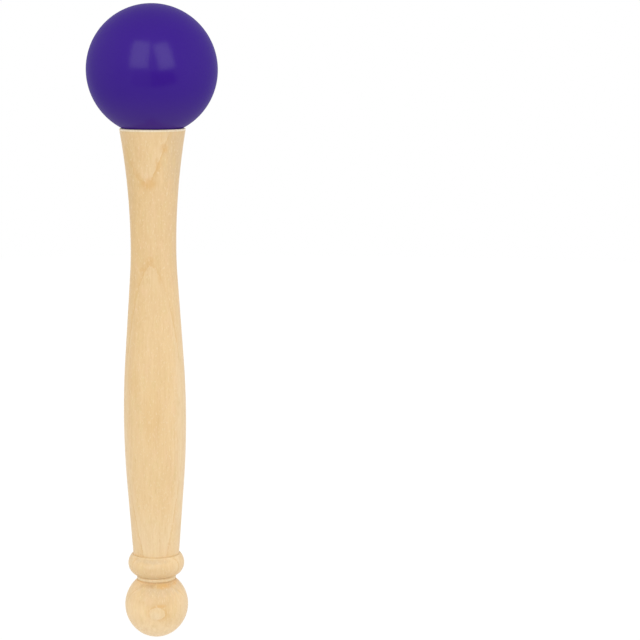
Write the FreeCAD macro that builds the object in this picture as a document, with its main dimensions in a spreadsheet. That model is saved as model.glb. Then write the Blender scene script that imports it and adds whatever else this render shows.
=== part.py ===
import FreeCAD, Part
import math
import os
import Sketcher

# Singing bowl mallet: a rubber ball glued on the tenon of a turned wooden handle.
# Lengths are in millimetres. +Z runs along the handle towards the ball, and the
# origin is on the axis at the widest section of the grip, where the hand holds it.

doc = FreeCAD.newDocument("singing_bowl_mallet")

# Driving dimensions, from the ball down to the pommel
SIZES = [
    ("ball_diameter", 48.1, "moulded rubber ball"),
    ("tenon_diameter", 10.0, "round tenon on top of the handle, inside the ball"),
    ("tenon_length", 24.0, "tenon, measured from the rim"),
    ("tenon_chamfer", 1.0, "lead-in at the end of the tenon"),
    ("glue_thickness", 0.15, "glue all round the tenon, in the bore of the ball"),
    ("glue_pocket", 1.5, "room beyond the tenon for spare glue"),
    ("rim_diameter", 24.3, "flared end that carries the ball"),
    ("rim_rounding", 0.45, "rounded outer edge of the rim"),
    ("rim_land", 0.55, "flat ring between the rounded edge and the dish"),
    ("dish_undercut", 2.0, "how much smaller the dish's radius is than the ball's, so that the lip bears"),
    ("neck_length", 44.1, "waist to rim"),
    ("waist_diameter", 16.8, "thinnest section of the neck"),
    ("waist_curve_length", 10.4, "curved stretch below the waist"),
    ("grip_upper_length", 63.0, "widest section of the grip to the waist"),
    ("grip_upper_curve", 22.0, "curved stretch above the widest section"),
    ("grip_diameter", 23.1, "widest section of the grip"),
    ("grip_lower_curve", 25.0, "curved stretch below the widest section"),
    ("grip_lower_length", 52.3, "widest section of the grip to the bead's shoulder"),
    ("grip_end_diameter", 17.1, "narrow end of the grip, at the bead"),
    ("shoulder_width", 0.55, "flat step from the grip to the bead"),
    ("bead_stand_out", 1.93, "bead's widest section beyond the end of the grip"),
    ("bead_upper_height", 3.55, "shoulder to the bead's widest section"),
    ("bead_lower_height", 4.75, "bead's widest section to the groove"),
    ("groove_diameter", 14.0, "bottom of the groove"),
    ("groove_width", 1.35, "straight bottom of the groove"),
    ("pommel_upper_height", 9.9, "groove to the pommel's widest section"),
    ("pommel_diameter", 23.65, "widest section of the pommel"),
    ("pommel_lower_height", 12.45, "pommel's widest section to its tip"),
]

sheet = doc.addObject("Spreadsheet::Sheet", "sizes")
for row, (alias, length, meaning) in enumerate(SIZES, start=1):
    sheet.set(f"A{row}", meaning)
    sheet.set(f"B{row}", str(length))
    sheet.setAlias(f"B{row}", alias)
doc.recompute()


class Outline:
    """Half outline of a round piece in its body's upright plane, drawn point by point.

    A point is two expressions: its distance from the axis and its height. One that is wrapped
    by near() is only where the drawing starts, and a smooth joint settles it.
    """

    # How a sketch numbers its own axes and the ends and centre of an edge
    level_axis_index, upright_axis_index = -1, -2
    begin_index, end_index, middle_index = 1, 2, 3

    def __init__(self, body, label, start):
        plane = next(feature for feature in body.Origin.OriginFeatures if feature.Role == "XZ_Plane")
        self.sketch = body.newObject("Sketcher::SketchObject", label)
        self.sketch.AttachmentSupport = [(plane, "")]
        self.sketch.MapMode = "FlatFace"
        self.start = self.here = start
        self.opening = self.joint = None

    def constrain(self, kind, *places):
        return self.sketch.addConstraint(Sketcher.Constraint(kind, *places))

    def bind(self, kind, places, expression):
        """Adds a dimension tied to its expression, measured backwards where it is negative."""
        value = self.sketch.evalExpression(expression)
        if value < 0:
            places, expression = places[2:] + places[:2], f"-({expression})"
        index = self.constrain(kind, *places, abs(value))
        self.sketch.setExpression(f"Constraints[{index}]", expression)

    def vector(self, point):
        texts = [part[0] if isinstance(part, tuple) else part for part in point]
        return FreeCAD.Vector(*[self.sketch.evalExpression(text) for text in texts], 0)

    def fix(self, edge, end, point):
        """Holds an end of an edge at its point."""
        axes = (self.upright_axis_index, self.level_axis_index)
        for kind, axis, part in zip(("DistanceX", "DistanceY"), axes, point):
            if part == "0":
                self.constrain("PointOnObject", edge, end, axis)
            elif not isinstance(part, tuple):
                self.bind(kind, [self.level_axis_index, self.begin_index, edge, end], part)

    def join(self, edge, begin, finish, point, smooth):
        """Joins a new edge to the last one and holds or joins its far end."""
        if self.joint:
            self.constrain("Tangent" if smooth else "Coincident", *self.joint, edge, begin)
        else:
            self.opening = (edge, begin)
            self.fix(edge, begin, self.start)
        if point == self.start:
            self.constrain("Coincident", edge, finish, *self.opening)
        else:
            self.fix(edge, finish, point)
        self.joint, self.here = (edge, finish), point

    def line(self, point, smooth=False):
        edge = self.sketch.addGeometry(Part.LineSegment(self.vector(self.here), self.vector(point)))
        self.join(edge, self.begin_index, self.end_index, point, smooth)

    def arc(self, point, upright=None, radius=None, smooth=False):
        """Draws an arc that runs along the axis at its "start" or "end", as upright says.

        With no such end its centre lies on the axis, and it may have a radius of its own.
        """
        begin, finish = self.vector(self.here), self.vector(point)
        reach = finish - begin
        if upright:
            bend = FreeCAD.Vector(reach.Length ** 2 / (2 * reach.x), 0, 0)
            centre = begin + bend if upright == "start" else finish - bend
        else:
            middle = (begin + finish) / 2
            centre = FreeCAD.Vector(0, middle.y + middle.x * reach.x / reach.y, 0)
        turns_left = (begin - centre).cross(finish - centre).z >= 0
        low, high = (begin, finish) if turns_left else (finish, begin)
        low_angle, high_angle = [math.atan2(end.y - centre.y, end.x - centre.x) for end in (low, high)]
        if high_angle < low_angle:
            high_angle += 2 * math.pi
        circle = Part.Circle(centre, FreeCAD.Vector(0, 0, 1), (begin - centre).Length)
        edge = self.sketch.addGeometry(Part.ArcOfCircle(circle, low_angle, high_angle))
        start, end = (self.begin_index, self.end_index) if turns_left else (self.end_index, self.begin_index)
        self.join(edge, start, end, point, smooth)
        if upright:
            self.constrain("Horizontal", edge, self.middle_index, edge, start if upright == "start" else end)
        else:
            self.constrain("PointOnObject", edge, self.middle_index, self.upright_axis_index)
        if radius:
            self.bind("Radius", [edge], radius)


def near(expression):
    """Marks a coordinate that a smooth joint settles."""
    return (expression,)


def between(first, second, share):
    return f"({first} + ({second} - {first}) * {share})"


def body_named(label):
    body = doc.addObject("PartDesign::Body", label)
    body.Label = label
    return body


def revolve(body, outline):
    """Turns a closed outline once round the axis."""
    doc.recompute()
    form = body.newObject("PartDesign::Revolution", f"{body.Label}_form")
    form.Profile = outline.sketch
    form.ReferenceAxis = (outline.sketch, ["V_Axis"])
    body.Tip = form
    return body


# Radii and heights where the pieces meet
BALL_RADIUS = "(sizes.ball_diameter / 2)"
TENON_RADIUS = "(sizes.tenon_diameter / 2)"
BORE_RADIUS = "(sizes.tenon_diameter / 2 + sizes.glue_thickness)"
LIP_RADIUS = "(sizes.rim_diameter / 2 - sizes.rim_rounding - sizes.rim_land)"
RIM_HEIGHT = "(sizes.grip_upper_length + sizes.neck_length)"
BALL_HEIGHT = f"({RIM_HEIGHT} + sqrt({BALL_RADIUS} ^ 2 - {LIP_RADIUS} ^ 2))"
MOUTH_HEIGHT = f"({BALL_HEIGHT} - sqrt({BALL_RADIUS} ^ 2 - {BORE_RADIUS} ^ 2))"
TENON_END = f"({RIM_HEIGHT} + sizes.tenon_length)"
TENON_EDGE = f"({TENON_END} - sizes.tenon_chamfer)"


def make_ball():
    """Solid rubber ball. It bears on the lip of the handle's rim and has a blind bore."""
    body = body_named("head_ball")
    top = ("0", f"{BALL_HEIGHT} + {BALL_RADIUS}")
    bore_end = f"{TENON_END} + sizes.glue_pocket"
    mouth = (BORE_RADIUS, MOUTH_HEIGHT)
    outline = Outline(body, "ball_outline", mouth)
    outline.arc(top)
    outline.line(("0", bore_end))
    outline.line((BORE_RADIUS, bore_end))
    outline.line(mouth)
    return revolve(body, outline)


def make_glue():
    """Cured glue round the straight part of the tenon, from the mouth of the bore upwards."""
    body = body_named("glue_film")
    foot = (TENON_RADIUS, MOUTH_HEIGHT)
    outline = Outline(body, "glue_outline", foot)
    outline.line((BORE_RADIUS, MOUTH_HEIGHT))
    outline.line((BORE_RADIUS, TENON_EDGE))
    outline.line((TENON_RADIUS, TENON_EDGE))
    outline.line(foot)
    return revolve(body, outline)


def make_handle():
    """One turned piece of wood: pommel, groove, bead, grip, neck, rim, dished seat and tenon."""
    body = body_named("handle")
    grip_radius = "(sizes.grip_diameter / 2)"
    grip_end_radius = "(sizes.grip_end_diameter / 2)"
    waist_radius = "(sizes.waist_diameter / 2)"
    rim_radius = "(sizes.rim_diameter / 2)"
    bead_radius = f"({grip_end_radius} + sizes.bead_stand_out)"
    groove_radius = "(sizes.groove_diameter / 2)"
    pommel_radius = "(sizes.pommel_diameter / 2)"

    shoulder = "-sizes.grip_lower_length"
    bead = f"{shoulder} - sizes.bead_upper_height"
    groove_top = f"{bead} - sizes.bead_lower_height"
    groove_foot = f"{groove_top} - sizes.groove_width"
    pommel = f"{groove_foot} - sizes.pommel_upper_height"
    tip = ("0", f"{pommel} - sizes.pommel_lower_height")

    # Shares of the way from one radius or height to the next, where each smooth joint starts
    cap_share, cap_height_share = 0.6, 0.8
    lower_curve_share, upper_curve_share, waist_curve_share = 0.32, 0.24, 0.89

    outline = Outline(body, "handle_outline", tip)

    # The pommel is a slightly long ball: a cap about the axis that runs smoothly into its side
    cap_edge = (near(f"{pommel_radius} * {cap_share}"),
                near(f"{pommel} - sizes.pommel_lower_height * {cap_height_share}"))
    outline.arc(cap_edge, radius=f"{pommel_radius} ^ 2 / sizes.pommel_lower_height")
    outline.arc((pommel_radius, pommel), upright="end", smooth=True)
    outline.arc((groove_radius, groove_foot), upright="start")

    # Groove, bead and the shoulder above it
    outline.line((groove_radius, groove_top))
    outline.arc((bead_radius, bead), upright="end")
    outline.arc((f"{grip_end_radius} + sizes.shoulder_width", shoulder), upright="start")
    outline.line((grip_end_radius, shoulder))

    # Grip: a straight taper, the swell, and a straight taper up to the neck
    lower_curve = (near(between(grip_radius, grip_end_radius, lower_curve_share)),
                   "-sizes.grip_lower_curve")
    upper_curve = (near(between(grip_radius, waist_radius, upper_curve_share)),
                   "sizes.grip_upper_curve")
    waist_curve = (near(between(grip_radius, waist_radius, waist_curve_share)),
                   "sizes.grip_upper_length - sizes.waist_curve_length")
    outline.line(lower_curve)
    outline.arc((grip_radius, "0"), upright="end", smooth=True)
    outline.arc(upper_curve, upright="start")
    outline.line(waist_curve, smooth=True)
    outline.arc((waist_radius, "sizes.grip_upper_length"), upright="end", smooth=True)

    # Neck, flared rim with a rounded edge, and the lip on which the ball bears
    outline.arc((rim_radius, f"{RIM_HEIGHT} - sizes.rim_rounding"), upright="start")
    outline.arc((f"{rim_radius} - sizes.rim_rounding", RIM_HEIGHT), upright="start")
    outline.line((LIP_RADIUS, RIM_HEIGHT))

    # Dish, turned rounder than the ball so that it touches nowhere inside the lip, and tenon
    outline.arc((TENON_RADIUS, near(MOUTH_HEIGHT)), radius=f"{BALL_RADIUS} - sizes.dish_undercut")
    outline.line((TENON_RADIUS, TENON_EDGE))
    outline.line((f"{TENON_RADIUS} - sizes.tenon_chamfer", TENON_END))
    outline.line(("0", TENON_END))
    outline.line(tip)
    return revolve(body, outline)


pieces = [make_ball(), make_glue(), make_handle()]
doc.recompute()

for item in doc.Objects:
    if any(state in ("Invalid", "Error") for state in item.State):
        raise RuntimeError(f"{item.Label} failed: {item.State}")
    if item.isDerivedFrom("Sketcher::SketchObject") and not item.FullyConstrained:
        raise RuntimeError(f"{item.Label} isn't fully fixed by its sizes")
for piece in pieces:
    if piece.Shape.isNull() or not piece.Shape.isValid() or len(piece.Shape.Solids) != 1:
        raise RuntimeError(f"{piece.Label} has no valid solid")

os.makedirs("parts", exist_ok=True)
for piece in pieces:
    piece.Shape.exportStep(f"parts/{piece.Label}.step")
    print(f"{piece.Label}: {piece.Shape.Volume / 1000:.2f} cm3")
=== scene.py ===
import math

import bpy
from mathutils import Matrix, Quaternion, Vector


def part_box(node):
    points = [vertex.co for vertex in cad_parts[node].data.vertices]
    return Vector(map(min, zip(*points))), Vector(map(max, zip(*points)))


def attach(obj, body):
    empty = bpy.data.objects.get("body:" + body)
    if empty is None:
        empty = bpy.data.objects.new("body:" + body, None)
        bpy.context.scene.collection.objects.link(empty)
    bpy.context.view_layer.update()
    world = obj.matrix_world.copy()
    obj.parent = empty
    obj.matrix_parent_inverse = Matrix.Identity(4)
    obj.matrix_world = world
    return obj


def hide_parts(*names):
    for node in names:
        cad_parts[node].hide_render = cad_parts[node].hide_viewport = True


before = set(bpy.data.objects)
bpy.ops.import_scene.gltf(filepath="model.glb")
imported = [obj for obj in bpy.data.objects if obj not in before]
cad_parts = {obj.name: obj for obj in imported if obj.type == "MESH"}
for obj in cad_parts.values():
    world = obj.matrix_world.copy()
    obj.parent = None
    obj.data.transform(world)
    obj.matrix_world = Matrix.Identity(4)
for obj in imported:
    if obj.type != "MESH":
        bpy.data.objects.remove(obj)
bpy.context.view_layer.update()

# Camera. It stands 0.8 m away on the -Y side, level with the top of the ball and to its right, and looks
# slightly down with a long lens, so that the mallet fills the left side of the frame from end to end.
SENSOR_WIDTH, LENS = 36.0, 123.75
CAMERA_PLACE = (0.06128, -0.80747, 0.14975)
LOOK_DOWN, ROLL = 8, -0.09

view = bpy.data.cameras.new("camera")
view.sensor_width = SENSOR_WIDTH
view.lens = LENS
camera = bpy.data.objects.new("camera", view)
camera.location = CAMERA_PLACE
camera.rotation_euler = (math.radians(90 - LOOK_DOWN), math.radians(ROLL), 0)
bpy.context.scene.collection.objects.link(camera)
bpy.context.scene.camera = camera
bpy.context.scene.view_settings.view_transform = "Standard"


# Studio. A white table top under the pommel's tip, a white surround, two tall soft boxes on the camera's
# side, which show as the two pale windows on the ball, a broad panel at each side, which lights the edges
# of the stick, and two cards on the table in front, which darken the ball under the right window.
class Reading:
    """An output of a shader node, which adds Math nodes when it is used in a sum."""

    def __init__(self, finish, socket):
        self.finish, self.socket = finish, socket

    def reckon(self, operation, first, second):
        return self.finish.node("ShaderNodeMath", {"operation": operation}, {0: first, 1: second})

    def __add__(self, other):
        return self.reckon("ADD", self, other)

    def __radd__(self, other):
        return self.reckon("ADD", other, self)

    def __sub__(self, other):
        return self.reckon("SUBTRACT", self, other)

    def __rsub__(self, other):
        return self.reckon("SUBTRACT", other, self)

    def __mul__(self, other):
        return self.reckon("MULTIPLY", self, other)

    def __rmul__(self, other):
        return self.reckon("MULTIPLY", other, self)

    def __truediv__(self, other):
        return self.reckon("DIVIDE", self, other)

    def __rtruediv__(self, other):
        return self.reckon("DIVIDE", other, self)

    def __pow__(self, other):
        return self.reckon("POWER", self, other)

    def __rpow__(self, other):
        return self.reckon("POWER", other, self)


class Finish:
    """The look of one surface, built node by node."""

    # Where the Mix node has its share, its two colours and their mixture
    SHARE, FIRST, SECOND, MIXTURE = 0, 6, 7, 2

    def __init__(self, name, owner=None):
        self.owner = owner or bpy.data.materials.new(name)
        self.owner.use_nodes = True
        self.tree = self.owner.node_tree
        self.tree.nodes.clear()

    def node(self, kind, settings=None, inputs=None, output=0):
        """Adds a node: its settings first, then the values or links of its sockets."""
        made = self.tree.nodes.new(kind)
        for name, setting in (settings or {}).items():
            if name == "stops":
                self.set_stops(made.color_ramp, setting)
            else:
                setattr(made, name, setting)
        for name, given in (inputs or {}).items():
            if isinstance(given, Reading):
                self.tree.links.new(given.socket, made.inputs[name])
            else:
                made.inputs[name].default_value = given
        return Reading(self, made.outputs[output]) if made.outputs else made

    @staticmethod
    def set_stops(ramp, stops):
        """Gives a colour ramp its stops, which stand in rising order."""
        for place, _ in stops[len(ramp.elements):]:
            ramp.elements.new(place)
        for element, (place, colour) in zip(ramp.elements, stops):
            element.position, element.color = place, colour

    def blend(self, share, first, second):
        """Mixes two colours by a share from 0 to 1."""
        return self.node("ShaderNodeMix", {"data_type": "RGBA"},
                         {self.SHARE: share, self.FIRST: first, self.SECOND: second}, output=self.MIXTURE)

    def mix(self, share, first, second):
        """Mixes two shaders by a share from 0 to 1."""
        return self.node("ShaderNodeMixShader", inputs={0: share, 1: first, 2: second})

    def surface(self, shader):
        """Shows a shader on the material and gives the material back."""
        self.node("ShaderNodeOutputMaterial", inputs={"Surface": shader})
        return self.owner


# The table and the surround as they are seen. The studio's sizes and places are in metres.
TABLE_RADIUS, TABLE_EDGES = 1.3, 96
TABLE_WHITE, WHITE = [0.55, 0.55, 0.55, 1.0], [1.0, 1.0, 1.0, 1.0]
WHITE_GLOW, WHITE_SHARE = 1.18, 0.8
SURROUND_WHITE = 1.0

# What lights the object: a bright pool of table round the pommel, which fades outwards, and the surround
POOL_GLOW, POOL_INSIDE, POOL_OUTSIDE = 0.9, 0.04, 0.4
POOL_SHARE, FAR_SHARE = 0.8, 0.25
SURROUND_FILL = 0.48


def in_sight(finish):
    """1 for rays that show the background: the camera's, and those mirrored or let through by the object."""
    camera_ray, glossy_ray, transmission_ray = [
        finish.node("ShaderNodeLightPath", output=kind)
        for kind in ("Is Camera Ray", "Is Glossy Ray", "Is Transmission Ray")]
    return camera_ray + glossy_ray + transmission_ray


turns = [2 * math.pi * edge / TABLE_EDGES for edge in range(TABLE_EDGES)]
floor_mesh = bpy.data.meshes.new("table_top")
floor_mesh.from_pydata([(TABLE_RADIUS * math.cos(turn), TABLE_RADIUS * math.sin(turn), 0)
                        for turn in turns], [], [range(TABLE_EDGES)])
table_top = bpy.data.objects.new("table_top", floor_mesh)
table_top.location.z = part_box("handle")[0].z
bpy.context.scene.collection.objects.link(table_top)

table_paint = Finish("table_paint")
matt = table_paint.node("ShaderNodeBsdfDiffuse", inputs={"Color": TABLE_WHITE})
from_pommel = table_paint.node("ShaderNodeVectorMath", {"operation": "LENGTH"}, {
    "Vector": table_paint.node("ShaderNodeTexCoord", output="Object")}, output="Value")
pool = table_paint.node("ShaderNodeMapRange", {"interpolation_type": "SMOOTHSTEP"}, {
    "Value": from_pommel, "From Min": POOL_INSIDE, "From Max": POOL_OUTSIDE,
    "To Min": POOL_SHARE, "To Max": FAR_SHARE})
dim, white = [table_paint.mix(share, matt, table_paint.node("ShaderNodeEmission", inputs={"Strength": glow}))
              for share, glow in ((pool, POOL_GLOW), (WHITE_SHARE, WHITE_GLOW))]
floor_mesh.materials.append(table_paint.surface(table_paint.mix(in_sight(table_paint), dim, white)))

surround = bpy.data.worlds.new("surround")
bpy.context.scene.world = surround
surround_light = Finish("surround", surround)
dim, white = [surround_light.node("ShaderNodeBackground", inputs={"Color": WHITE, "Strength": strength})
              for strength in (SURROUND_FILL, SURROUND_WHITE)]
surround_light.node("ShaderNodeOutputWorld", inputs={
    "Surface": surround_light.mix(in_sight(surround_light), dim, white)})


def soft_box(name, middle, outward, width, height, brightness, lean=0.0, mirrored=True):
    """A rectangular lamp whose back faces outward; white paper has a brightness of 1."""
    lamp = bpy.data.lights.new(name, "AREA")
    lamp.shape, lamp.size, lamp.size_y = "RECTANGLE", width, height
    lamp.energy = brightness * math.pi * width * height
    holder = bpy.data.objects.new(name, lamp)
    holder.location = middle
    turn = Vector(outward).to_track_quat("Z", "Y") @ Quaternion((0, 0, 1), math.radians(lean))
    holder.rotation_euler = turn.to_euler()
    holder.visible_camera = False
    holder.visible_glossy = mirrored
    bpy.context.scene.collection.objects.link(holder)


# A row gives a box's name, its middle, the way that its back faces, its width and height, and how many
# degrees it leans. The panels are both of one size, and a panel's row ends with its brightness.
BOX_BRIGHTNESS = 2.18
BOXES = (("left_box", (-0.312, -0.942, 0.697), (-0.3, -0.922, 0.242), 0.62, 0.98, 0),
         ("right_box", (0.465, -0.901, 0.647), (0.444, -0.872, 0.208), 0.54, 0.94, 8))
for name, middle, outward, width, height, lean in BOXES:
    soft_box(name, middle, outward, width, height, BOX_BRIGHTNESS, lean)

PANEL_WIDTH, PANEL_HEIGHT = 1.8, 1.6
PANELS = (("left_panel", (-1.28, 0.1, 0.29), (-1, 0.08, 0.2), 0.72),
          ("right_panel", (1.28, 0.1, 0.29), (1, 0.08, 0.2), 0.88))
for name, middle, outward, brightness in PANELS:
    soft_box(name, middle, outward, PANEL_WIDTH, PANEL_HEIGHT, brightness, mirrored=False)

# The cards stand on the table between the camera and the object and lean towards the camera. Only what
# mirrors shows them. Foot and top are places along Y and Z, and a row gives a card's name, its left and
# right edges along X and its brightness.
CARD_FOOT, CARD_TOP = (-0.4, -0.084), (-0.6, 0.12)
CARDS = (("grey_card", -0.28, 0.0, 0.7), ("dark_card", 0.01, 0.5, 0.35))
for name, left_edge, right_edge, brightness in CARDS:
    card_mesh = bpy.data.meshes.new(name)
    card_mesh.from_pydata([(left_edge, *CARD_FOOT), (right_edge, *CARD_FOOT),
                           (right_edge, *CARD_TOP), (left_edge, *CARD_TOP)], [], [(0, 1, 2, 3)])
    card = bpy.data.objects.new(name, card_mesh)
    card.visible_camera = card.visible_diffuse = card.visible_shadow = False
    bpy.context.scene.collection.objects.link(card)
    card_paint = Finish(name)
    card_mesh.materials.append(card_paint.surface(
        card_paint.node("ShaderNodeEmission", inputs={"Strength": brightness})))


# Handle. One stick of pale, close-grained hardwood, turned on a copying lathe, sanded and given a thin
# satin lacquer: ball-shaped pommel, groove, bead, swelling grip, neck and flared rim. The tenon above
# the rim goes into the ball. Sizes are in millimetres from the centre of the grip.
MILLIMETRE = 0.001
AROUND = 160
TINY = 1e-4
SHARP_EDGE, SMOOTH_TURN = math.radians(40), math.radians(15)
POMMEL_TIP, POMMEL_RADIUS, POMMEL_HEIGHT = -84.3, 11.825, -71.85
GROOVE_RADIUS, FILLET_RADIUS, QUIRK_RADIUS, QUIRK_WIDTH = 7.0, 7.3, 6.8, 0.25
POMMEL_END, BEAD_FOOT = (7.486, -62.35), (7.411, -60.45)
BEAD_RADIUS, BEAD_HEIGHT = 10.48, -55.85
SHOULDER_RADIUS, GRIP_END_RADIUS, SHOULDER_HEIGHT = 9.1, 8.55, -52.3
CREASE_DEPTH, CREASE_BOTTOM, CREASE_LIP, CREASE_WIDTH = 0.14, 0.05, 0.02, 0.16
LOWER_TAPER_END, GRIP_RADIUS = (10.61, -25.0), 11.55
UPPER_TAPER_BEGIN, UPPER_TAPER_END = (10.81, 22.0), (8.75, 52.6)
WAIST_RADIUS, WAIST_HEIGHT = 8.4, 63.0
RIM_RADIUS, RIM_HEIGHT, RIM_ROUNDING, RIM_LAND = 12.15, 107.1, 0.45, 0.55
DISH_RADIUS = 22.05
TENON_RADIUS, TENON_TOP, TENON_CHAMFER = 5.0, 131.1, 1.0
EDGE_WEAR, WEAR_STEPS = 0.12, 4


def bow(begin, end, upright, steps):
    """Points along an arc that runs straight up where it begins or ends, as upright says."""
    (r0, z0), (r1, z1) = begin, end
    reach = ((r1 - r0) ** 2 + (z1 - z0) ** 2) / (2 * (r1 - r0))
    middle = (r0 + reach, z0) if upright == "begin" else (r1 - reach, z1)
    return sweep(begin, end, middle, steps)


def sweep(begin, end, middle, steps):
    """Points along an arc about a centre, without the point that it begins at."""
    first, last = [math.atan2(point[1] - middle[1], point[0] - middle[0]) for point in (begin, end)]
    if abs(last - first) > math.pi:
        last += math.copysign(2 * math.pi, first - last)
    radius = math.dist(begin, middle)
    turns = [first + (last - first) * step / steps for step in range(1, steps + 1)]
    return [(middle[0] + radius * math.cos(turn), middle[1] + radius * math.sin(turn)) for turn in turns]


def taper(begin, end, steps):
    """Points along a straight line, without the point that it begins at."""
    return [tuple(Vector(begin).lerp(Vector(end), step / steps)) for step in range(1, steps)] + [end]


def worn(outline, size):
    """Takes the sharpness off every corner of an outline by a small curve, as sanding does."""
    softened = [outline[0]]
    for before, corner, after in zip(outline, outline[1:], outline[2:]):
        into, out = [Vector(b) - Vector(a) for a, b in ((before, corner), (corner, after))]
        if into.length * out.length == 0 or into.angle(out) < SMOOTH_TURN:
            softened.append(corner)
            continue
        near = min(size, into.length / 2, out.length / 2)
        start, stop = Vector(corner) - into.normalized() * near, Vector(corner) + out.normalized() * near
        for step in range(WEAR_STEPS + 1):
            share = step / WEAR_STEPS
            point = start * (1 - share) ** 2 + Vector(corner) * 2 * share * (1 - share) + stop * share ** 2
            if (point - Vector(softened[-1])).length > TINY:
                softened.append(tuple(point))
    return softened + [outline[-1]]


def turned(name, outline, around):
    """A closed skin made by turning an outline about the upright axis; it begins and ends on the axis."""
    rings, corners, faces = [], [], []
    for radius, height in outline:
        if radius < TINY:
            rings.append([len(corners)])
            corners.append((0, 0, height * MILLIMETRE))
        else:
            rings.append(list(range(len(corners), len(corners) + around)))
            for step in range(around):
                turn = 2 * math.pi * step / around
                corners.append((radius * math.cos(turn) * MILLIMETRE, radius * math.sin(turn) * MILLIMETRE,
                                height * MILLIMETRE))
    for low, high in zip(rings, rings[1:]):
        for step in range(around):
            after = (step + 1) % around
            if len(low) == 1:
                faces.append((low[0], high[after], high[step]))
            elif len(high) == 1:
                faces.append((low[step], low[after], high[0]))
            else:
                faces.append((low[step], low[after], high[after], high[step]))
    mesh = bpy.data.meshes.new(name)
    mesh.from_pydata(corners, [], faces)
    mesh.shade_smooth()
    mesh.set_sharp_from_angle(angle=SHARP_EDGE)
    piece = bpy.data.objects.new(name, mesh)
    bpy.context.scene.collection.objects.link(piece)
    return piece


cap_radius = POMMEL_RADIUS ** 2 / (POMMEL_HEIGHT - POMMEL_TIP)
cap_middle = (0, POMMEL_TIP + cap_radius)
side_radius = ((math.dist((POMMEL_RADIUS, POMMEL_HEIGHT), cap_middle) ** 2 - cap_radius ** 2)
               / (POMMEL_RADIUS - cap_radius) / 2)
inward = Vector(cap_middle) - Vector((POMMEL_RADIUS - side_radius, POMMEL_HEIGHT))
pommel_side = tuple(Vector(cap_middle) + inward.normalized() * cap_radius)
groove_foot, groove_top = POMMEL_END[1] + QUIRK_WIDTH, BEAD_FOOT[1] - QUIRK_WIDTH
fillet_height = (POMMEL_END[1] + BEAD_FOOT[1]) / 2
lip = (RIM_RADIUS - RIM_ROUNDING - RIM_LAND, RIM_HEIGHT)
dish_middle = (0, RIM_HEIGHT + math.sqrt(DISH_RADIUS ** 2 - lip[0] ** 2))
dish_foot = (TENON_RADIUS, dish_middle[1] - math.sqrt(DISH_RADIUS ** 2 - TENON_RADIUS ** 2))

handle_outline = [(0, POMMEL_TIP)]
handle_outline += sweep(handle_outline[-1], pommel_side, cap_middle, steps=14)
handle_outline += bow(pommel_side, (POMMEL_RADIUS, POMMEL_HEIGHT), "end", steps=16)
handle_outline += bow(handle_outline[-1], POMMEL_END, "begin", steps=22)

# The groove: a V-shaped cut, the round fillet between, and another cut
handle_outline += [(QUIRK_RADIUS, POMMEL_END[1] + QUIRK_WIDTH / 2), (GROOVE_RADIUS, groove_foot)]
handle_outline += bow(handle_outline[-1], (FILLET_RADIUS, fillet_height), "end", steps=6)
handle_outline += bow(handle_outline[-1], (GROOVE_RADIUS, groove_top), "begin", steps=6)
handle_outline += [(QUIRK_RADIUS, BEAD_FOOT[1] - QUIRK_WIDTH / 2), BEAD_FOOT]

# The bead, its shoulder, and the fine crease where the grip begins
handle_outline += bow(handle_outline[-1], (BEAD_RADIUS, BEAD_HEIGHT), "end", steps=16)
handle_outline += bow(handle_outline[-1], (SHOULDER_RADIUS, SHOULDER_HEIGHT), "begin", steps=12)
handle_outline += [(GRIP_END_RADIUS, SHOULDER_HEIGHT),
                   (GRIP_END_RADIUS - CREASE_DEPTH, SHOULDER_HEIGHT + CREASE_BOTTOM),
                   (GRIP_END_RADIUS + CREASE_LIP, SHOULDER_HEIGHT + CREASE_WIDTH)]

# The grip and the neck, made of straight tapers and of arcs that run smoothly into each other
handle_outline += taper((GRIP_END_RADIUS, SHOULDER_HEIGHT), LOWER_TAPER_END, steps=3)
handle_outline += bow(handle_outline[-1], (GRIP_RADIUS, 0), "end", steps=14)
handle_outline += bow(handle_outline[-1], UPPER_TAPER_BEGIN, "begin", steps=12)
handle_outline += taper(handle_outline[-1], UPPER_TAPER_END, steps=3)
handle_outline += bow(handle_outline[-1], (WAIST_RADIUS, WAIST_HEIGHT), "end", steps=8)
handle_outline += bow(handle_outline[-1], (RIM_RADIUS, RIM_HEIGHT - RIM_ROUNDING), "begin", steps=26)

# The rim, its dished seat for the ball, and the tenon
handle_outline += bow(handle_outline[-1], (RIM_RADIUS - RIM_ROUNDING, RIM_HEIGHT), "begin", steps=8)
handle_outline += [lip] + sweep(lip, dish_foot, dish_middle, steps=10)
handle_outline += [(TENON_RADIUS, TENON_TOP - TENON_CHAMFER), (TENON_RADIUS - TENON_CHAMFER, TENON_TOP),
                   (0, TENON_TOP)]
handle = turned("turned_handle", worn(handle_outline, EDGE_WEAR), AROUND)
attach(handle, "root")
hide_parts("handle")

# The growth rings lie about the heart of the branch, which runs just behind the stick and bends a
# little, so that the rings meet the front of the neck, grip and pommel as a V, an arch and an eye.
# Its place across and behind the axis is a curve of the height in units of 100 mm.
RING_WIDTH, RING_START = 4.36, 21.39
HEART_UNIT = 100.0
HEART_ACROSS = (0.18, -0.13, -0.19, 3.42)
HEART_BEHIND = (14.0, 0.68, -4.0, -3.86, 4.47)
RAGGEDNESS, WANDERING = 0.07, 0.02


def grain(finish, place, across, behind, along, detail=2.0, roughness=0.5, seed=0.0):
    """Noise from 0 to 1, with so many parts per metre in each direction."""
    stretched = finish.node("ShaderNodeVectorMath", {"operation": "MULTIPLY"},
                            {0: place, 1: (across, behind, along)})
    return finish.node("ShaderNodeTexNoise", {"noise_dimensions": "4D"}, {
        "Vector": stretched, "W": seed, "Scale": 1.0, "Detail": detail, "Roughness": roughness})


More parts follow.
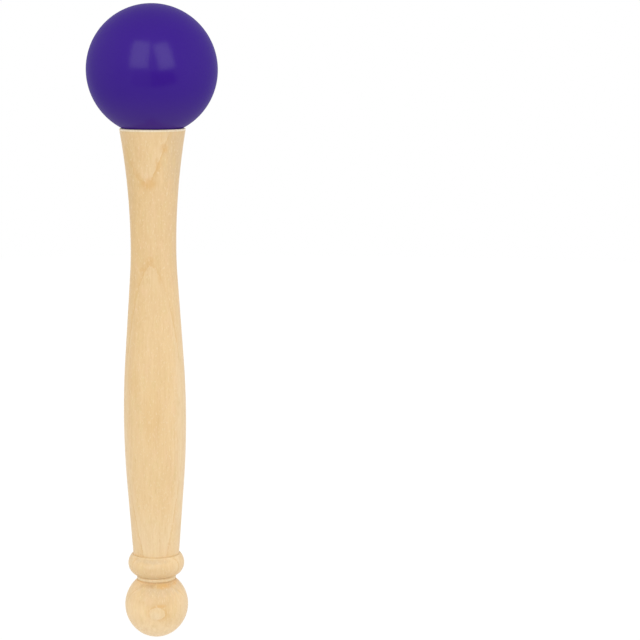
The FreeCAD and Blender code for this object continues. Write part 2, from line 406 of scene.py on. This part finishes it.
def swing(noise, reach):
    """Noise turned into a swing to either side of zero, whose whole width is the reach."""
    return (noise - 0.5) * reach


def curve(height, parts):
    """The sum of the parts, each times one power more of the height."""
    total = parts[-1]
    for part in reversed(parts[:-1]):
        total = total * height + part
    return total


wood = Finish("handle_wood")
place = wood.node("ShaderNodeTexCoord", output="Object")
right, back, up = [wood.node("ShaderNodeSeparateXYZ", inputs={"Vector": place}, output=axis) / MILLIMETRE
                   for axis in "XYZ"]
across = right - curve(up / HEART_UNIT, HEART_ACROSS)
behind = back - curve(up / HEART_UNIT, HEART_BEHIND)
from_heart = (across * across + behind * behind) ** 0.5

ragged = grain(wood, place, across=1800, behind=1800, along=260, detail=3.0, roughness=0.6, seed=1.7)
wander = grain(wood, place, across=60, behind=60, along=14, detail=1.0, seed=5.2)
rings = (from_heart - RING_START) / RING_WIDTH + swing(ragged, RAGGEDNESS) + swing(wander, WANDERING)
age = wood.node("ShaderNodeMath", {"operation": "FRACT"}, {"Value": rings})


def paint(red, green, blue):
    """A colour given as the eye reads it, from 0 to 255, turned into light."""
    parts = [part / 255 for part in (red, green, blue)]
    return [part / 12.92 if part < 0.04045 else ((part + 0.055) / 1.055) ** 2.4 for part in parts] + [1.0]


EARLY_WOOD, MEAN_WOOD = paint(241, 212, 166), paint(239, 207, 157)
LATE_WOOD, RING_EDGE = paint(235, 200, 146), paint(228, 185, 124)
season = wood.node("ShaderNodeValToRGB", {"stops": [
    (0.0, EARLY_WOOD), (0.25, MEAN_WOOD), (0.86, MEAN_WOOD), (0.96, LATE_WOOD), (1.0, RING_EDGE)]},
    {"Fac": age})


def beyond(finish, reading, low, high):
    """0 below one level of a reading and 1 above another, with a soft step between them."""
    return finish.node("ShaderNodeMapRange", {"interpolation_type": "SMOOTHSTEP"},
                       {"Value": reading, "From Min": low, "From Max": high})


# The rings fade in and out along the stick. On its front, amber patches lie where they run out at the
# surface, and broader ones are paler, greyer or browner. Several patches are painted light and shade:
# painted shade on the neck, in the crease, on the bead and on the pommel's top under the groove, a painted
# sheen in the pale sapwood down the sides, and painted light from below on the pommel. A row gives a patch's
# place across and along the front and its half sizes, in millimetres, then its strength and its tone.
FADED_LEVELS, FADED_STRENGTH = (0.5, 0.7), 0.7
FRONT_DEPTHS = (0.0, 4.0)
PATCH_RAGGEDNESS, PATCH_SOFTNESS = 0.9, 0.8
AMBER, BROWN_AND_SHADOW, TAWNY = paint(230, 182, 114), paint(206, 170, 122), paint(216, 184, 132)
HEARTWOOD, SAPWOOD_AND_SHEEN, PAINTED_UNDERLIGHT = paint(228, 190, 128), paint(243, 218, 178), paint(255, 226, 180)
DUSKY_PAINTED_SHADE, GREY_PAINTED_SHADE = paint(226, 193, 146), paint(221, 194, 154)
PATCHES = ((-6.5, 66.0, 8.0, 52.0, 0.45, HEARTWOOD),
           # Partly a painted sheen: the pale sapwood down the sides of the stick.
           (12.0, -20.0, 6.0, 110.0, 0.7, SAPWOOD_AND_SHEEN),
           (-12.0, -30.0, 5.0, 80.0, 0.6, SAPWOOD_AND_SHEEN),
           (0.0, -44.0, 14.0, 14.0, 0.4, SAPWOOD_AND_SHEEN),
           (-6.8, 14.0, 3.0, 8.0, 0.35, HEARTWOOD),
           (-0.8, 87.4, 4.0, 2.9, 0.75, AMBER),
           (-4.8, 90.2, 2.0, 2.0, 0.4, AMBER),
           (5.2, 100.3, 1.9, 2.8, 0.7, AMBER),
           (2.6, 94.0, 1.5, 3.6, 0.5, AMBER),
           (-7.3, 95.2, 1.8, 2.8, 0.4, AMBER),
           (-0.8, 59.2, 2.0, 2.3, 0.6, AMBER),
           (-3.8, 55.8, 1.6, 1.2, 0.4, AMBER),
           (2.8, 52.6, 1.0, 2.6, 0.4, AMBER),
           # Painted shade on the front and the right of the neck, where it flares towards the rim.
           (2.0, 62.0, 12.0, 50.0, 0.35, DUSKY_PAINTED_SHADE),
           (8.0, 78.0, 6.0, 34.0, 0.4, DUSKY_PAINTED_SHADE),
           (9.5, 98.0, 6.0, 20.0, 0.6, GREY_PAINTED_SHADE),
           (-9.0, 90.0, 6.5, 28.0, 0.42, TAWNY),
           (-3.4, 88.8, 1.4, 1.4, 0.6, HEARTWOOD),
           (-6.0, 92.4, 1.5, 1.8, 0.6, HEARTWOOD),
           (-8.6, 98.5, 1.5, 3.5, 0.6, HEARTWOOD),
           # Painted shade in the crease, on the bead, and on the pommel's top under the groove.
           (-1.0, -53.3, 9.0, 1.5, 0.8, GREY_PAINTED_SHADE),
           (-1.5, -55.4, 4.5, 1.0, 0.35, SAPWOOD_AND_SHEEN),
           (1.0, -56.6, 8.0, 2.0, 0.35, DUSKY_PAINTED_SHADE),
           (2.0, -64.0, 11.0, 4.5, 0.9, GREY_PAINTED_SHADE),
           (1.0, -68.4, 10.0, 3.8, 0.6, DUSKY_PAINTED_SHADE),
           # Painted shadow mixed with browner wood just under the groove on the pommel's top.
           (1.5, -62.9, 8.5, 1.1, 0.8, BROWN_AND_SHADOW),
           (-3.4, -63.4, 2.8, 0.8, 0.4, BROWN_AND_SHADOW),
           (-4.0, -67.4, 2.4, 1.4, 0.3, SAPWOOD_AND_SHEEN),
           # Painted light from below on the lower and left side of the pommel.
           (-6.0, -74.0, 9.0, 7.0, 0.5, PAINTED_UNDERLIGHT),
           (0.0, -81.5, 15.0, 7.5, 1.0, PAINTED_UNDERLIGHT),
           (0.2, -73.7, 3.4, 2.5, 0.7, SAPWOOD_AND_SHEEN),
           (3.0, -63.3, 4.0, 1.25, 0.75, AMBER),
           (7.1, -62.8, 1.2, 0.9, 0.6, AMBER),
           (2.0, -69.9, 3.2, 0.9, 0.6, AMBER))
front = 1.0 - beyond(wood, back, *FRONT_DEPTHS)
patchy = grain(wood, place, across=150, behind=150, along=60, detail=1.0, seed=9.4)
blotch = grain(wood, place, across=700, behind=700, along=350, seed=4.9)
colour = wood.blend(beyond(wood, patchy, *FADED_LEVELS) * FADED_STRENGTH, season, MEAN_WOOD)
for middle, height, half_width, half_height, strength, tone in PATCHES:
    sideways, along = (right - middle) / half_width, (up - height) / half_height
    nearness = 1.0 - (sideways * sideways + along * along) ** 0.5 + swing(blotch, PATCH_RAGGEDNESS)
    colour = wood.blend(beyond(wood, nearness, 0.0, PATCH_SOFTNESS) * front * strength, colour, tone)


def between(finish, reading, begin, full, fading, end):
    """1 where a reading lies between two levels, with a soft step on either side."""
    return beyond(finish, reading, begin, full) * (1.0 - beyond(finish, reading, fading, end))


# Painted highlights: the bottoms of the groove and the crease, and the edge of the rim, are painted paler
# where light catches them.
GROOVE_HEIGHTS, CREASE_HEIGHTS = (-62.4, -62.0, -60.2, -59.2), (-52.7, -52.3, -52.2, -51.8)
RIM_EDGE_HEIGHTS = (106.1, 106.6)
PAINTED_HOLLOW_HIGHLIGHT, HOLLOW_HIGHLIGHT_STRENGTH = paint(237, 214, 172), 0.9
PAINTED_RIM_HIGHLIGHT, RIM_HIGHLIGHT_STRENGTH = paint(255, 242, 212), 0.95
in_painted_highlight = between(wood, up, *GROOVE_HEIGHTS) + between(wood, up, *CREASE_HEIGHTS)
colour = wood.blend(in_painted_highlight * HOLLOW_HIGHLIGHT_STRENGTH, colour, PAINTED_HOLLOW_HIGHLIGHT)
# Painted highlight along the edge of the rim.
colour = wood.blend(beyond(wood, up, *RIM_EDGE_HEIGHTS) * RIM_HIGHLIGHT_STRENGTH, colour, PAINTED_RIM_HIGHLIGHT)

# A faint mottle, fibres, streaks, pores and the small pale flecks of the rays. Each comes in between two
# levels of its noise, and the fibres from one level on.
fibre = grain(wood, place, across=1500, behind=1500, along=110, detail=4.0, roughness=0.65, seed=2.3)
streak = grain(wood, place, across=260, behind=260, along=16, seed=8.8)
fleck = grain(wood, place, across=2600, behind=900, along=900, detail=1.0, seed=3.1)
pore = grain(wood, place, across=2400, behind=2400, along=420, detail=1.0, seed=6.4)
mottle = grain(wood, place, across=420, behind=420, along=170, roughness=0.6, seed=7.7)
MOTTLE_LEVELS, MOTTLE_STRENGTH = (0.52, 0.72), 0.35
FIBRE_LEVEL, FIBRE_STRENGTH = 0.38, 0.8
STREAK_LEVELS, STREAK_STRENGTH = (0.5, 0.72), 0.15
PORE_LEVELS, PORE_STRENGTH = (0.6, 0.74), 0.25
FLECK_LEVELS, FLECK_STRENGTH = (0.56, 0.72), 0.4
ROSY, STRAW = paint(242, 206, 165), paint(230, 203, 145)
DARK_FIBRE, PALE_FLECK = paint(214, 172, 116), paint(247, 224, 186)
in_pore = beyond(wood, pore, *PORE_LEVELS)
colour = wood.blend(beyond(wood, mottle, *MOTTLE_LEVELS) * MOTTLE_STRENGTH, colour, ROSY)
colour = wood.blend(beyond(wood, 1.0 - mottle, *MOTTLE_LEVELS) * MOTTLE_STRENGTH, colour, STRAW)
colour = wood.blend((fibre - FIBRE_LEVEL) * FIBRE_STRENGTH, colour, DARK_FIBRE)
colour = wood.blend(beyond(wood, streak, *STREAK_LEVELS) * STREAK_STRENGTH, colour, DARK_FIBRE)
colour = wood.blend(in_pore * PORE_STRENGTH, colour, DARK_FIBRE)
colour = wood.blend(beyond(wood, fleck, *FLECK_LEVELS) * FLECK_STRENGTH, colour, PALE_FLECK)

FIBRE_RELIEF, PORE_RELIEF, RAGGED_RELIEF = 0.6, 0.5, 0.2
WOOD_ROUGHNESS, WOOD_ROUGHNESS_RANGE = 0.46, 0.16
relief = fibre * FIBRE_RELIEF - in_pore * PORE_RELIEF + ragged * RAGGED_RELIEF
bump = wood.node("ShaderNodeBump", inputs={"Strength": 0.12, "Distance": 0.00012, "Height": relief})
handle.data.materials.append(wood.surface(wood.node("ShaderNodeBsdfPrincipled", inputs={
    "Base Color": colour, "Roughness": WOOD_ROUGHNESS + swing(fibre, WOOD_ROUGHNESS_RANGE), "IOR": 1.5,
    "Specular IOR Level": 0.2, "Coat Weight": 0.15, "Coat Roughness": 0.4, "Normal": bump})))


# Glue. A thin film of cured wood glue fills the gap between the tenon and the bore of the ball and
# holds the ball on. It is out of sight, so it keeps its solid and only gets its honey-coloured finish.
HONEY, PALE_HONEY = paint(226, 211, 168), paint(238, 226, 192)
GLUE_ROUGHNESS, GLUE_ROUGHNESS_RANGE = 0.3, 0.2
glue = Finish("cured_glue")
cloudy = grain(glue, glue.node("ShaderNodeTexCoord", output="Object"), across=400, behind=400, along=400,
               detail=3.0, seed=4.4)
glue_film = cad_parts["glue_film"]
glue_film.data.materials.clear()
glue_film.data.materials.append(glue.surface(glue.node("ShaderNodeBsdfPrincipled", inputs={
    "Base Color": glue.blend(cloudy, HONEY, PALE_HONEY),
    "Roughness": GLUE_ROUGHNESS + cloudy * GLUE_ROUGHNESS_RANGE, "IOR": 1.47})))


# Ball. Solid moulded rubber in one purple colour, with a painted reflection that makes it paler and greyer
# towards the rim, a smooth satin skin from the mould and a blind bore for the tenon. It sits on the rim's
# lip and is glued to the tenon.
BALL_RADIUS, BALL_STEPS = 24.05, 90
BORE_RADIUS, BORE_TOP = 5.15, 132.6
PURPLE, PALE_PURPLE, PAINTED_REFLECTION_PURPLE = paint(52, 14, 134), paint(56, 18, 137), paint(63, 31, 134)
REFLECTION_HEIGHTS = (108.0, 122.0)
COAT, COAT_RANGE = 0.19, 0.04

ball_height = RIM_HEIGHT + math.sqrt(BALL_RADIUS ** 2 - lip[0] ** 2)
mouth = (BORE_RADIUS, ball_height - math.sqrt(BALL_RADIUS ** 2 - BORE_RADIUS ** 2))
crown = (0, ball_height + BALL_RADIUS)
ball_outline = [(0, BORE_TOP), (BORE_RADIUS, BORE_TOP), mouth]
ball_outline += sweep(mouth, crown, (0, ball_height), BALL_STEPS)[:-1] + [crown]
ball = turned("rubber_ball", ball_outline, AROUND)
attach(ball, "root")
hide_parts("head_ball")

rubber = Finish("ball_rubber")
place = rubber.node("ShaderNodeTexCoord", output="Object")
up = rubber.node("ShaderNodeSeparateXYZ", inputs={"Vector": place}, output="Z") / MILLIMETRE
cloud = grain(rubber, place, across=55, behind=55, along=55, detail=3.0, roughness=0.55, seed=1.1)
skin = grain(rubber, place, across=900, behind=900, along=900, seed=7.3)
# Painted reflection: the purple turns paler and greyer on the lower part of the ball, towards the rim.
painted_reflection = 1.0 - beyond(rubber, up, *REFLECTION_HEIGHTS)
colour = rubber.blend(painted_reflection, rubber.blend(cloud, PURPLE, PALE_PURPLE), PAINTED_REFLECTION_PURPLE)
bump = rubber.node("ShaderNodeBump", inputs={"Strength": 0.1, "Distance": 0.00002, "Height": skin})
ball.data.materials.append(rubber.surface(rubber.node("ShaderNodeBsdfPrincipled", inputs={
    "Base Color": colour, "Roughness": 0.6, "IOR": 1.5, "Specular IOR Level": 0.0,
    "Coat Weight": COAT + swing(cloud, COAT_RANGE), "Coat Roughness": 0.2, "Coat IOR": 1.8,
    "Normal": bump})))
